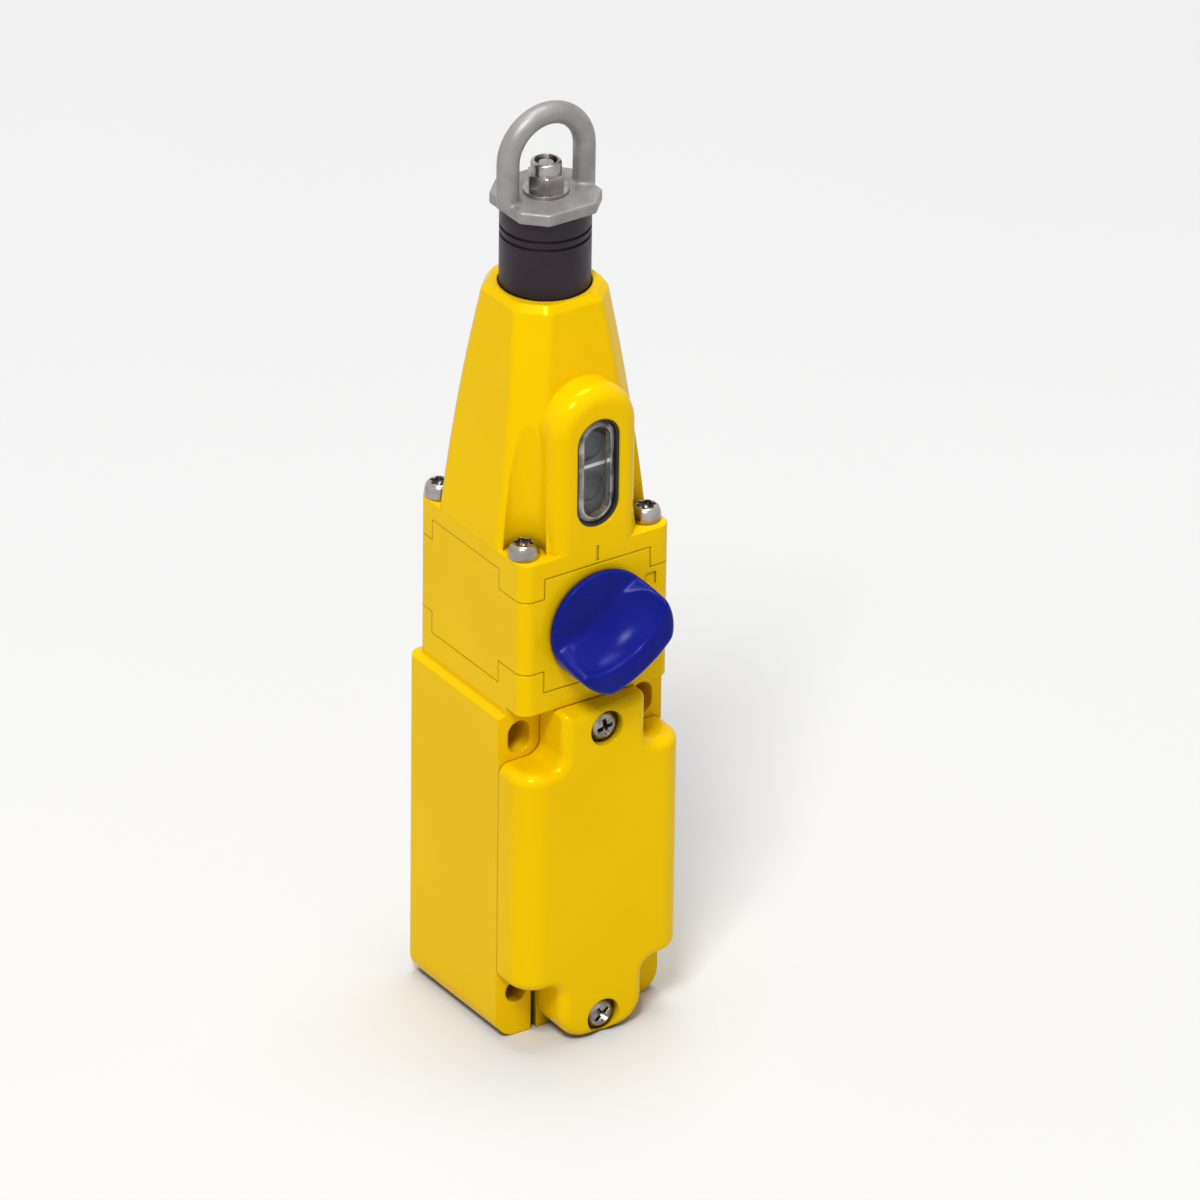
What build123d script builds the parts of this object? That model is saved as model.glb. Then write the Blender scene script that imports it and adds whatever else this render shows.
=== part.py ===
from build123d import *
import math
import os

# Rope-pull safety switch with a reset knob and a tension window. Lengths are in millimetres.
# The Z axis is the pull axis, the front faces -Y, and the origin is the centre of the
# cable entry in the bottom face.

# Fits and small gaps
thread_clearance = 0.05
running_clearance = 0.05
fit_gap = 0.1
slide_gap = 0.3
seam_gap = 0.15

# Base housing
body_width = 40.0
base_depth = 33.5
seam_front = 14.6
base_height = 76.3
shoulder_run = 1.8
shoulder_drop = 0.7
base_corner_radius = 5.0
base_back_radius = 1.5
back_relief_depth = 0.8
back_relief_width = 24.0
back_relief_margin = 8.0
back_relief_radius = 3.0

# Space inside the base, a wide part for the contacts with a narrow part above and below it
cavity_width = 34.0
cavity_low = 17.5
cavity_roof = 10.8
cavity_step = 3.5
cavity_neck_width = 14.0
floor_thickness = 9.0
back_wall = 2.6
cavity_radius = 2.0

# Fixing holes and cable entry
fixing_spacing = 30.0
fixing_rise = 60.0
fixing_low_z = 10.4
fixing_hole_diameter = 5.3
fixing_slot_length = 7.3
entry_diameter = 18.5

# Front cover
cover_depth = 10.0
cover_wall = 3.0
cover_side_radius = 6.0
cover_edge_radius = 2.4
shoulder_low_z = 14.5
shoulder_top_drop = 10.9
tab_width = 20.0
tab_bottom_z = 0.3
tab_rise = 1.5
tab_end_radius = 6.5
tab_top_radius = 1.2
cut_radius = 3.2
cover_screw_low_z = 4.5
cover_screw_top_drop = 3.8
cover_screw_diameter = 4.0
cover_screw_head_diameter = 6.6
cover_screw_head_height = 2.4
cover_screw_recess_diameter = 7.8
cover_screw_recess_depth = 3.0
cover_screw_grip = 4.0
screw_tip_gap = 0.4
screw_tip_chamfer = 0.5
head_dome = 0.7
tab_groove_width = 1.4
tab_groove_depth = 3.0

# Seals
gasket_width = 1.4
gasket_inset = 0.6
gasket_groove_depth = 1.4
stack_seal_width = 1.2
stack_seal_inset = 0.5

# The stack above the base: neck, knob housing and head share one outline
stack_width = 36.4
stack_front = 20.4
stack_back = 18.6
stack_radius = 2.8
neck_gap = 1.7
neck_height = 4.6
neck_ear_height = 4.9
knob_housing_height = 26.4
head_ear_height = 4.6
flange_height = 3.8
ear_inner_x = 12.9
ear_front_length = 8.8
ear_back_length = 5.4
mechanism_width = 22.0
mechanism_front = 12.0
mechanism_back = 16.0
mechanism_radius = 3.0

# Long screws that hold the stack together
stack_screw_x = 14.9
stack_screw_y = 15.5
stack_screw_diameter = 3.5
stack_screw_hold = 3.2
stack_screw_head_diameter = 6.4
stack_screw_head_height = 3.2
screw_pocket_radius = 4.6

# Tower of the head: half width and corner cut at its foot, waist, rim and top
tower_height = 52.2
tower_waist_height = 26.2
tower_rim_drop = 1.6
tower_half_widths = (18.2, 14.8, 11.5, 10.5)
tower_corner_cuts = (7.6, 5.4, 5.2, 4.9)
tower_corner_radius = 3.0
spring_room_diameter = 24.0
spring_room_height = 27.2
web_thickness = 4.0

# Window in the front of the head
window_rise = 16.9
window_width = 10.4
window_height = 24.6
window_frame = 0.55
window_ledge = 1.5
window_recess_depth = 2.6
window_set_back = 0.5
lens_thickness = 2.0
lens_bevel = 1.2
boss_width = 20.6
boss_rise = 19.1
boss_root = 2.0
boss_edge_radius = 3.8
boss_back = 8.0
indicator_room_width = 10.4
indicator_room_wall = 1.2
indicator_room_rise = 15.8
tick_width = 0.6
tick_depth = 0.4
tick_height = 3.4
mark_width = 2.6
mark_height = 3.0
mark_x = 13.0
mark_rise = 5.8
mark_corner_radius = 0.3
tick_gap = 0.6

# Pull shaft, sleeve and eye
pull_travel = 8.0
shaft_diameter = 8.0
stud_diameter = 4.0
stud_height = 6.5
stud_chamfer = 0.5
sleeve_diameter = 18.8
sleeve_bore = 13.2
sleeve_sunk = 15.0
sleeve_cap = 2.4
sleeve_groove_drop = 4.5
sleeve_groove_pitch = 1.8
sleeve_groove_width = 0.7
sleeve_groove_depth = 0.5
guide_diameter = 12.2
guide_flange_diameter = 16.0
guide_flange_thickness = 1.4
guide_top_drop = 5.0
wiper_width = 1.1
wiper_height = 1.8
wiper_top_gap = 1.2
sleeve_reach = 17.6
plate_thickness = 2.6
plate_half_width = 10.0
plate_corner_cut = 4.4
ring_radius = 9.2
ring_rod_diameter = 4.7
ring_centre_rise = 8.2
washer_diameter = 9.5
washer_thickness = 0.8
nut_across_flats = 7.0
nut_height = 3.6
nut_collar_diameter = 6.4
nut_collar_height = 2.6
nut_collar_bore = 4.8
nut_collar_depth = 1.5
nut_collar_radius = 0.7
nut_bevel = 0.3

# Main spring, its plate and the indicator
spring_plate_drop = 0.8
spring_plate_thickness = 2.0
spring_plate_diameter = 22.6
spring_wire = 2.0
spring_mean_diameter = 16.4
spring_turns = 5
clip_thickness = 0.9
clip_wall = 1.9
clip_groove_depth = 0.6
clip_opening = 4.2
indicator_width = 9.6
indicator_thickness = 2.4
indicator_rise = 7.5
indicator_dish_diameter = 6.8
indicator_dish_depth = 0.8
indicator_dish_offset = 4.7
line_height = 0.8
line_depth = 0.4
line_margin = 0.6

# Reset knob
knob_rise = 13.1
knob_diameter = 24.4
knob_face_gap = 0.4
knob_disc_thickness = 2.1
knob_height = 10.4
knob_rim_radius = 0.8
grip_angle = 32.0
grip_side_radius = 30.0
grip_side_reach = 9.9
grip_edge_radius = 1.0
flank_top_offset = 0.3
flank_foot_offset = -4.0
scoop_top_along = 1.0
scoop_top_across = -4.3
scoop_top_radius = 9.0
scoop_foot_along = -0.9
scoop_foot_across = -16.6
scoop_foot_radius = 14.6
knob_stub_diameter = 8.8
knob_stub_back = 13.0
spindle_diameter = 5.0
spindle_front = 20.0
spindle_back = 7.6
spindle_flat = 1.9
bush_outer_diameter = 12.4
bush_back = 12.4
knob_seal_length = 1.4
cam_front = 11.6
cam_thickness = 2.8
cam_radius = 4.6
cam_lobe_radius = 2.4
cam_lobe_reach = 4.8
spindle_clip_gap = 0.1
spindle_clip_thickness = 0.7
spindle_clip_wall = 1.5
spindle_clip_opening = 2.6
spindle_groove_diameter = 4.0

# Rocker lever between the shaft and the contact plunger
lever_y = 12.8
lever_rise = 14.4
lever_pad_arm = 4.8
lever_pin_diameter = 3.0
lever_pin_hold = 2.0
lever_hub_diameter = 5.6
lever_arm_gap = 9.8
lever_arm_thickness = 2.0
lever_arm_height = 3.6
fork_pin_diameter = 2.4
fork_slack = 0.3
fork_neck_diameter = 4.4
fork_reach_gap = 0.4
collar_diameter = 9.0
collar_height = 1.8
pad_bar_diameter = 3.0

# Contact block
chamber_width = 25.2
chamber_wall = 2.4
chamber_height = 16.0
chamber_back = 12.4
block_front = 9.0
block_back = 16.2
block_floor_gap = 2.5
block_roof_gap = 4.0
block_edge_radius = 1.0
barrier_depth = 4.0
barrier_width = 1.6
barrier_margin = 1.0
terminal_screw_diameter = 3.0
terminal_head_diameter = 5.4
terminal_head_height = 2.2
terminal_clamp_size = 5.8
terminal_clamp_thickness = 1.0
terminal_clamp_radius = 0.8
terminal_screw_length = 6.0
contact_strip_width = 4.0
contact_strip_thickness = 0.8
contact_reach = 1.0
contact_gap = 0.3
block_screw_gap = 0.4
block_screw_diameter = 3.0
block_screw_head_diameter = 4.6
block_screw_head_height = 2.0
block_screw_grip = 2.0
plunger_y = 8.1
plunger_diameter = 5.0
plunger_dome_gap = 0.3
carrier_width = 12.0
carrier_rest_gap = 5.0
carrier_height = 5.0
carrier_front = 5.0
carrier_back = 11.6
carrier_edge_radius = 1.0
bridge_gap = 0.6
bridge_depth = 5.0
bridge_radius = 1.2
bridge_y = -2.0
return_wire = 0.6
return_mean_diameter = 4.4
return_turns = 4
earth_screw_z = 13.6
earth_screw_diameter = 3.5
earth_head_diameter = 6.6
earth_head_height = 2.2
earth_washer_diameter = 8.0
earth_washer_thickness = 0.9

# Levels worked out from the base's height, from the cover up to the eye
side_z = base_height - shoulder_drop
cavity_top = base_height - cavity_roof
cavity_high = cavity_top - cavity_step
shoulder_high_z = base_height - shoulder_top_drop
tab_top_z = base_height + tab_rise
cover_screw_high_z = base_height - cover_screw_top_drop
neck_underside_z = base_height + neck_gap
neck_top_z = neck_underside_z + neck_height
neck_ear_top_z = neck_top_z + neck_ear_height
stack_screw_tip_z = neck_top_z - stack_screw_hold
knob_z = neck_top_z + knob_rise
mark_z = knob_z + mark_rise
lever_z = neck_top_z + lever_rise
head_seam_z = neck_top_z + knob_housing_height
head_ear_bottom_z = head_seam_z - head_ear_height
flange_top_z = head_seam_z + flange_height
tower_top_z = flange_top_z + tower_height
tower_rim_z = tower_top_z - tower_rim_drop
tower_waist_z = flange_top_z + tower_waist_height
web_bottom_z = flange_top_z + spring_room_height
web_top_z = web_bottom_z + web_thickness
window_z = flange_top_z + window_rise
boss_top_z = window_z + boss_rise
indicator_room_top_z = window_z + indicator_room_rise
indicator_top_z = window_z + indicator_rise
spring_plate_bottom_z = flange_top_z - spring_plate_drop
spring_seat_z = spring_plate_bottom_z + spring_plate_thickness
guide_top_z = tower_top_z - guide_top_drop
sleeve_bottom_z = tower_top_z - sleeve_sunk
plate_bottom_z = tower_top_z + sleeve_reach
plate_top_z = plate_bottom_z + plate_thickness
washer_top_z = plate_top_z + washer_thickness
nut_top_z = washer_top_z + nut_height
collar_top_z = nut_top_z + nut_collar_height
stud_top_z = plate_top_z + stud_height
ring_centre_z = plate_top_z + ring_centre_rise

# Contact block, laid out from its chamber
block_width = chamber_width + 2 * chamber_wall
block_low_z = cavity_low + block_floor_gap
block_high_z = cavity_high - block_roof_gap
chamber_low_z = (block_low_z + block_high_z - chamber_height) / 2
chamber_high_z = chamber_low_z + chamber_height
bridge_width = chamber_width - 2 * bridge_gap
terminal_x = chamber_width / 2 - contact_gap - contact_strip_width / 2
terminal_low_z = (block_low_z + chamber_low_z) / 2
terminal_high_z = (block_high_z + chamber_high_z) / 2
block_screw_reach = terminal_clamp_size / 2 + block_screw_head_diameter / 2 + block_screw_gap
block_screw_x = terminal_x - block_screw_reach
carrier_low_z = chamber_low_z + carrier_rest_gap
carrier_high_z = carrier_low_z + carrier_height

# Faces along Y and the rest places of the linkage
seam_y = -seam_front
back_y = seam_y + base_depth
cover_front_y = seam_y - cover_depth
cover_back_y = seam_y - seam_gap
cavity_back_y = back_y - back_wall
stack_front_y = -stack_front
front_wall_y = -mechanism_front
window_floor_y = stack_front_y + window_recess_depth
room_front_y = window_floor_y + indicator_room_wall
indicator_front_y = room_front_y + slide_gap
knob_back_y = stack_front_y - knob_face_gap
grip_foot_y = knob_back_y - knob_disc_thickness
grip_front_y = knob_back_y - knob_height
lever_arm = lever_y
lever_rest_angle = math.asin(pull_travel / 2 / lever_arm)
fork_rest_z = lever_z - pull_travel / 2
shaft_bottom_z = fork_rest_z - fork_pin_diameter / 2 - fork_slack - collar_height
pad_rest_z = lever_z - lever_pad_arm * math.sin(lever_rest_angle)
plunger_top_z = pad_rest_z - pad_bar_diameter / 2 - plunger_dome_gap
plunger_stroke = pull_travel * lever_pad_arm / lever_arm


def block_between(x_low, x_high, y_low, y_high, z_low, z_high):
    """Box given by its limits along the three axes."""
    size = Box(x_high - x_low, y_high - y_low, z_high - z_low)
    return Pos((x_low + x_high) / 2, (y_low + y_high) / 2, (z_low + z_high) / 2) * size


def rod_z(diameter, z_low, z_high, x=0, y=0):
    """Cylinder standing along Z."""
    rod = Cylinder(diameter / 2, z_high - z_low, align=(Align.CENTER, Align.CENTER, Align.MIN))
    return Pos(x, y, z_low) * rod


def rod_y(diameter, y_front, y_rear, x=0, z=0):
    """Cylinder lying along Y."""
    rod = Cylinder(diameter / 2, y_rear - y_front, align=(Align.CENTER, Align.CENTER, Align.MIN))
    return Pos(x, y_front, z) * Rot(-90, 0, 0) * rod


def rod_x(diameter, x_low, x_high, y=0, z=0):
    """Cylinder lying along X."""
    rod = Cylinder(diameter / 2, x_high - x_low, align=(Align.CENTER, Align.CENTER, Align.MIN))
    return Pos(x_low, y, z) * Rot(0, 90, 0) * rod


def front_prism(outline, y_front, y_rear):
    """Extrude an outline drawn in X and Z between two places along Y."""
    plane = Plane(origin=(0, y_rear, 0), x_dir=(1, 0, 0), z_dir=(0, -1, 0))
    return extrude(plane * outline, y_rear - y_front)


def rectangle_between(x_low, x_high, y_low, y_high):
    """Rectangle sketch given by its limits."""
    return Pos((x_low + x_high) / 2, (y_low + y_high) / 2) * Rectangle(x_high - x_low, y_high - y_low)


def corners(outline, x, y):
    """Corners of an outline at the given distances from the middle line and the base line."""
    return [v for v in outline.vertices() if math.isclose(abs(v.X), x, abs_tol=1e-6)
            and math.isclose(v.Y, y, abs_tol=1e-6)]


def upright_slot(width, height, z):
    """Slot outline with round ends, standing upright."""
    return Pos(0, z) * SlotOverall(height, width, rotation=90)


def stack_prism(z_low, z_high, inset=0.0):
    """Prism with the outline that the neck, knob housing and head share."""
    depth = stack_front + stack_back - 2 * inset
    outline = RectangleRounded(stack_width - 2 * inset, depth, stack_radius - inset)
    return extrude(Pos(0, (stack_back - stack_front) / 2, z_low) * outline, z_high - z_low)


def corner_boxes(z_low, z_high, gap):
    """The four corner zones of the stack, grown inwards by a gap."""
    outer = stack_width
    zones = []
    for side in (-1, 1):
        near, far = sorted((side * (ear_inner_x - gap), side * outer))
        front_limit = stack_front_y + ear_front_length + gap
        back_limit = stack_back - ear_back_length - gap
        zones.append(block_between(near, far, -outer, front_limit, z_low, z_high))
        zones.append(block_between(near, far, back_limit, outer, z_low, z_high))
    return zones


def mechanism_room(z_low, z_high):
    """Space for the mechanism inside the stack."""
    depth = mechanism_front + mechanism_back
    outline = RectangleRounded(mechanism_width, depth, mechanism_radius)
    return extrude(Pos(0, (mechanism_back - mechanism_front) / 2, z_low) * outline, z_high - z_low)


def stack_screw_places():
    """Places of the four long screws."""
    return [(x * stack_screw_x, y * stack_screw_y) for x in (-1, 1) for y in (-1, 1)]


def cavity_outline(grow=0.0):
    """Outline of the space behind the cover, drawn in X and Z."""
    half = cavity_width / 2 + grow
    neck = cavity_neck_width / 2 + grow
    low, high = cavity_low - grow, cavity_high + grow
    outline = rectangle_between(-half, half, low, high)
    outline += rectangle_between(-neck, neck, floor_thickness - grow, cavity_top + grow)
    return fillet(corners(outline, half, low) + corners(outline, half, high), cavity_radius)


def seal_ring(outer_outline, inner_outline):
    """Flat ring between two outlines."""
    return outer_outline - inner_outline


def cover_seal_outline(spare=0.0):
    """Outline of the cover's seal, drawn in X and Z."""
    outer = cavity_outline(gasket_inset + gasket_width + spare)
    return seal_ring(outer, cavity_outline(gasket_inset - spare))


def stack_seal(z_low, z_high, spare=0.0):
    """Ring seal around the mechanism's space."""
    width = mechanism_width + 2 * stack_seal_inset
    depth = mechanism_front + mechanism_back + 2 * stack_seal_inset
    grow = 2 * (stack_seal_width + spare)
    radius = mechanism_radius + stack_seal_inset
    outer = RectangleRounded(width + grow, depth + grow, radius + grow / 2)
    inner = RectangleRounded(width - 2 * spare, depth - 2 * spare, radius - spare)
    place = Pos(0, (mechanism_back - mechanism_front) / 2, z_low)
    return extrude(place * (outer - inner), z_high - z_low)


def base_housing():
    """Die-cast base with pillars, fixing holes, cable entry and neck."""
    half = body_width / 2
    ridge = half - shoulder_run
    outline = make_face(Polyline((-half, 0), (half, 0), (half, side_z), (ridge, base_height),
                                 (-ridge, base_height), (-half, side_z), close=True))
    outline = fillet(corners(outline, half, 0), base_corner_radius)
    body = front_prism(outline, seam_y, back_y)
    back_edges = [e for e in body.edges().filter_by_position(Axis.Y, back_y - 0.01, back_y + 0.01)
                  if e.center().Z < side_z]
    body = fillet(back_edges, base_back_radius)

    neck = stack_prism(neck_underside_z, neck_top_z)
    root = stack_prism(side_z, neck_top_z)
    root -= block_between(-half, half, -half - stack_front, seam_y, 0, neck_underside_z)
    body += neck + root
    ears = stack_prism(neck_top_z, neck_ear_top_z)
    for zone in corner_boxes(neck_top_z - 1, neck_ear_top_z + 1, 0):
        body += ears & zone

    body -= front_prism(cavity_outline(), seam_y, cavity_back_y)
    body -= mechanism_room(neck_top_z - 2, neck_ear_top_z)
    body -= rod_z(plunger_diameter + 2 * fit_gap, cavity_top - 1, neck_top_z, 0, plunger_y)
    for x, y in stack_screw_places():
        tip = stack_screw_tip_z - screw_tip_gap
        body -= rod_z(stack_screw_diameter + 2 * thread_clearance, tip, neck_ear_top_z, x, y)

    for x in (-fixing_spacing / 2, fixing_spacing / 2):
        body -= rod_y(fixing_hole_diameter, seam_y, back_y, x, fixing_low_z)
        slot = upright_slot(fixing_hole_diameter, fixing_slot_length, fixing_low_z + fixing_rise)
        body -= front_prism(Pos(x, 0) * slot, seam_y, back_y)
    for z in (cover_screw_low_z, cover_screw_high_z):
        depth = cover_screw_grip + screw_tip_gap
        body -= rod_y(cover_screw_diameter + 2 * thread_clearance, seam_y, seam_y + depth, 0, z)

    body -= rod_z(entry_diameter, 0, floor_thickness)

    for side in (-1, 1):
        near, far = sorted((side * tab_width / 2, side * (tab_width / 2 + tab_groove_width)))
        body -= block_between(near, far, seam_y, seam_y + tab_groove_depth, 0, shoulder_low_z - 1)

    relief = Pos(0, (cavity_low + cavity_high) / 2)
    relief_height = cavity_high - cavity_low - back_relief_margin
    relief *= RectangleRounded(back_relief_width, relief_height, back_relief_radius)
    body -= front_prism(relief, back_y - back_relief_depth, back_y)

    for x in (-block_screw_x, block_screw_x):
        z = terminal_high_z if x < 0 else terminal_low_z
        tip = cavity_back_y + block_screw_grip
        body -= rod_y(block_screw_diameter + 2 * thread_clearance, cavity_back_y, tip, x, z)
    earth_hole = earth_screw_diameter + 2 * thread_clearance
    body -= rod_y(earth_hole, cavity_back_y, cavity_back_y + block_screw_grip, 0, earth_screw_z)
    return body


def cover_outline():
    """Outline of the front cover with its upper and lower tabs, drawn in X and Z."""
    half = body_width / 2
    tab = tab_width / 2
    outline = rectangle_between(-half, half, shoulder_low_z, shoulder_high_z)
    outline += rectangle_between(-tab, tab, tab_bottom_z, tab_top_z)
    outline = fillet(corners(outline, tab, tab_bottom_z), tab_end_radius)
    outline = fillet(corners(outline, tab, tab_top_z), tab_top_radius)
    inner = corners(outline, tab, shoulder_low_z) + corners(outline, tab, shoulder_high_z)
    return fillet(inner, cut_radius)


def is_cover_rim(edge):
    """Whether an edge of the cover is rounded over: not at the seam, and not a side or a draw line."""
    place, way = edge.center(), edge.tangent_at(0.5)
    upright_side = abs(way.Z) > 0.99 and abs(place.X) > tab_width / 2 + cut_radius
    return place.Y < cover_back_y - 0.01 and abs(way.Y) < 0.99 and not upright_side


def front_cover():
    """Hollow front cover with rounded side edges and counterbored screw tabs."""
    cover = front_prism(cover_outline(), cover_front_y, cover_back_y)
    half = body_width / 2
    sides = [e for e in cover.edges() if math.isclose(abs(e.center().X), half, abs_tol=0.01)
             and math.isclose(e.center().Y, cover_front_y, abs_tol=0.01)]
    cover = fillet(sides, cover_side_radius)
    cover = fillet([e for e in cover.edges() if is_cover_rim(e)], cover_edge_radius)
    cover -= front_prism(cavity_outline(-fit_gap), cover_front_y + cover_wall, cover_back_y)
    groove = cover_seal_outline(fit_gap)
    cover -= front_prism(groove, cover_back_y - gasket_groove_depth, cover_back_y)
    for z in (cover_screw_low_z, cover_screw_high_z):
        recess_floor = cover_front_y + cover_screw_recess_depth
        cover -= rod_y(cover_screw_recess_diameter, cover_front_y, recess_floor, 0, z)
        cover -= rod_y(cover_screw_diameter + 2 * fit_gap, recess_floor, cover_back_y, 0, z)
    return cover


def cover_gasket():
    """Seal in the cover's groove."""
    return front_prism(cover_seal_outline(), cover_back_y - gasket_groove_depth, seam_y)


def pan_screw(diameter, head_diameter, head_height, length):
    """Screw with a domed head, pointing along -Z, with the head's seat at the origin."""
    head = rod_z(head_diameter, 0, head_height)
    head = fillet(head.edges().group_by(Axis.Z)[-1], head_height * head_dome)
    shank = rod_z(diameter, -length, 0)
    shank = chamfer(shank.edges().group_by(Axis.Z)[0], screw_tip_chamfer)
    return head + shank


def front_screw(screw, x, y, z):
    """Place a screw so that it points along +Y."""
    return Pos(x, y, z) * Rot(90, 0, 0) * screw


def cover_screws():
    """The two screws of the front cover."""
    seat_y = cover_front_y + cover_screw_recess_depth
    length = seam_y + cover_screw_grip - seat_y
    screw = pan_screw(cover_screw_diameter, cover_screw_head_diameter, cover_screw_head_height, length)
    return [front_screw(screw, 0, seat_y, z) for z in (cover_screw_low_z, cover_screw_high_z)]


def knob_housing():
    """Module between base and head that carries the reset knob."""
    body = stack_prism(neck_top_z + seam_gap, head_seam_z - seam_gap)
    for zone in corner_boxes(neck_top_z, neck_ear_top_z + seam_gap, seam_gap):
        body -= zone
    for zone in corner_boxes(head_ear_bottom_z - seam_gap, head_seam_z, seam_gap):
        body -= zone
    body -= mechanism_room(neck_top_z, head_seam_z)
    body -= rod_y(bush_outer_diameter, stack_front_y, front_wall_y, 0, knob_z)
    for side in (-1, 1):
        end = side * (mechanism_width / 2 + lever_pin_hold)
        body -= rod_x(lever_pin_diameter, min(0, end), max(0, end), lever_y, lever_z)
    for x, y in stack_screw_places():
        body -= rod_z(stack_screw_diameter + 2 * fit_gap, neck_top_z, head_seam_z, x, y)
    body -= stack_seal(neck_top_z, neck_top_z + seam_gap + gasket_groove_depth, fit_gap)
    body -= stack_seal(head_seam_z - seam_gap - gasket_groove_depth, head_seam_z, fit_gap)
    mark = Pos(mark_x, mark_z) * RectangleRounded(mark_width, mark_height, mark_corner_radius)
    body -= front_prism(mark, stack_front_y, stack_front_y + tick_depth)
    return body


def tower_section(level, z):
    """Eight-sided section of the tower with rounded corners."""
    half = tower_half_widths[level]
    square = Rectangle(2 * half, 2 * half)
    section = chamfer(square.vertices(), tower_corner_cuts[level])
    return Pos(0, 0, z) * fillet(section.vertices(), tower_corner_radius)


def tower():
    """Tapered tower with slightly bowed sides and a rounded top rim."""
    foot, waist = tower_section(0, flange_top_z), tower_section(1, tower_waist_z)
    rim, top = tower_section(2, tower_rim_z), tower_section(3, tower_top_z)
    return loft([foot, waist, rim]) + loft([rim, top])


def window_boss():
    """Dome-topped boss that carries the window."""
    half = boss_width / 2
    centre_z = boss_top_z - half
    outline = rectangle_between(-half, half, flange_top_z - boss_root, centre_z)
    outline += Pos(0, centre_z) * Circle(half)
    boss = front_prism(outline, stack_front_y, -boss_back)
    rim = [e for e in boss.edges() if abs(e.center().Y - stack_front_y) < 0.01
           and e.center().Z > flange_top_z]
    return fillet(rim, boss_edge_radius)


def head_housing():
    """Head with corner ears, tapered tower and window boss."""
    body = stack_prism(head_seam_z, flange_top_z)
    ears = stack_prism(head_ear_bottom_z, head_seam_z)
    for zone in corner_boxes(head_ear_bottom_z - 1, head_seam_z, 0):
        body += ears & zone
    body += tower()
    body += window_boss()

    body -= rod_z(spring_room_diameter, head_seam_z, web_bottom_z)
    body -= rod_z(guide_diameter, web_bottom_z, web_top_z)
    body -= rod_z(sleeve_diameter + 2 * slide_gap, web_top_z, tower_top_z)
    wiper_top = tower_top_z - wiper_top_gap
    wiper_outer = sleeve_diameter + 2 * fit_gap + 2 * wiper_width
    body -= rod_z(wiper_outer, wiper_top - wiper_height, wiper_top)

    room = rectangle_between(-indicator_room_width / 2, indicator_room_width / 2,
                             head_seam_z, indicator_room_top_z - indicator_room_width / 2)
    room += Pos(0, indicator_room_top_z - indicator_room_width / 2) * Circle(indicator_room_width / 2)
    body -= front_prism(room, room_front_y, -boss_back)
    recess = upright_slot(window_width, window_height, window_z)
    body -= front_prism(recess, stack_front_y, window_floor_y)
    narrow = 2 * window_ledge
    through = upright_slot(window_width - narrow, window_height - narrow, window_z)
    body -= front_prism(through, window_floor_y, room_front_y)

    for x, y in stack_screw_places():
        body -= rod_z(2 * screw_pocket_radius, flange_top_z, web_top_z, x, y)
        body -= rod_z(stack_screw_diameter + 2 * fit_gap, head_ear_bottom_z, flange_top_z, x, y)
    tick = rectangle_between(-tick_width / 2, tick_width / 2, 0, tick_height)
    tick = Pos(0, head_seam_z + tick_gap) * tick
    body -= front_prism(tick, stack_front_y, stack_front_y + tick_depth)
    return body


def head_screws():
    """The four long screws through head and knob housing into the base."""
    length = flange_top_z - stack_screw_tip_z
    screw = pan_screw(stack_screw_diameter, stack_screw_head_diameter, stack_screw_head_height, length)
    return [Pos(x, y, flange_top_z) * screw for x, y in stack_screw_places()]


def window_gasket():
    """Black frame seal around the lens."""
    inner = upright_slot(window_width - 2 * window_frame, window_height - 2 * window_frame, window_z)
    outline = upright_slot(window_width, window_height, window_z) - inner
    return front_prism(outline, stack_front_y + window_set_back, window_floor_y)


def window_lens():
    """Clear lens with a bevelled front edge."""
    shrink = 2 * (window_frame + running_clearance)
    outline = upright_slot(window_width - shrink, window_height - shrink, window_z)
    lens = front_prism(outline, window_floor_y - lens_thickness, window_floor_y)
    front = lens.faces().sort_by(Axis.Y)[0]
    return chamfer(front.edges(), lens_bevel)


def guide_bush():
    """Flanged bush that guides the shaft in the head's web."""
    bore = shaft_diameter + 2 * running_clearance
    bush = rod_z(guide_diameter, web_bottom_z, guide_top_z)
    bush += rod_z(guide_flange_diameter, web_top_z, web_top_z + guide_flange_thickness)
    return bush - rod_z(bore, web_bottom_z, guide_top_z)


def sleeve_wiper():
    """Wiper ring around the sleeve in the top of the tower."""
    top = tower_top_z - wiper_top_gap
    inner = sleeve_diameter + 2 * fit_gap
    ring = rod_z(inner + 2 * wiper_width, top - wiper_height, top)
    return ring - rod_z(inner, top - wiper_height, top)


def pull_shaft():
    """Turned shaft with a fork neck at the bottom and a threaded stud at the top."""
    neck_low = fork_rest_z - fork_pin_diameter / 2 - fork_slack
    neck_high = fork_rest_z + fork_pin_diameter / 2 + fork_slack
    shaft = rod_z(collar_diameter, shaft_bottom_z, neck_low)
    shaft += rod_z(fork_neck_diameter, neck_low, neck_high)
    shaft += rod_z(collar_diameter, neck_high, neck_high + collar_height)
    shaft += rod_z(shaft_diameter, neck_high, plate_bottom_z)
    shaft += rod_z(stud_diameter, plate_bottom_z, stud_top_z)
    shaft = chamfer(shaft.edges().group_by(Axis.Z)[-1], stud_chamfer)
    groove = shaft_diameter - 2 * clip_groove_depth
    clip_low = spring_plate_bottom_z - clip_thickness
    cut = rod_z(shaft_diameter, clip_low, spring_plate_bottom_z)
    return shaft - (cut - rod_z(groove, clip_low, spring_plate_bottom_z))


def open_clip(bore, wall, thickness, opening):
    """Flat spring clip with an opening towards +Y, lying on the ground plane."""
    ring = rod_z(bore + 2 * wall, 0, thickness) - rod_z(bore, 0, thickness)
    return ring - block_between(-opening / 2, opening / 2, 0, bore + wall, 0, thickness)


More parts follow.
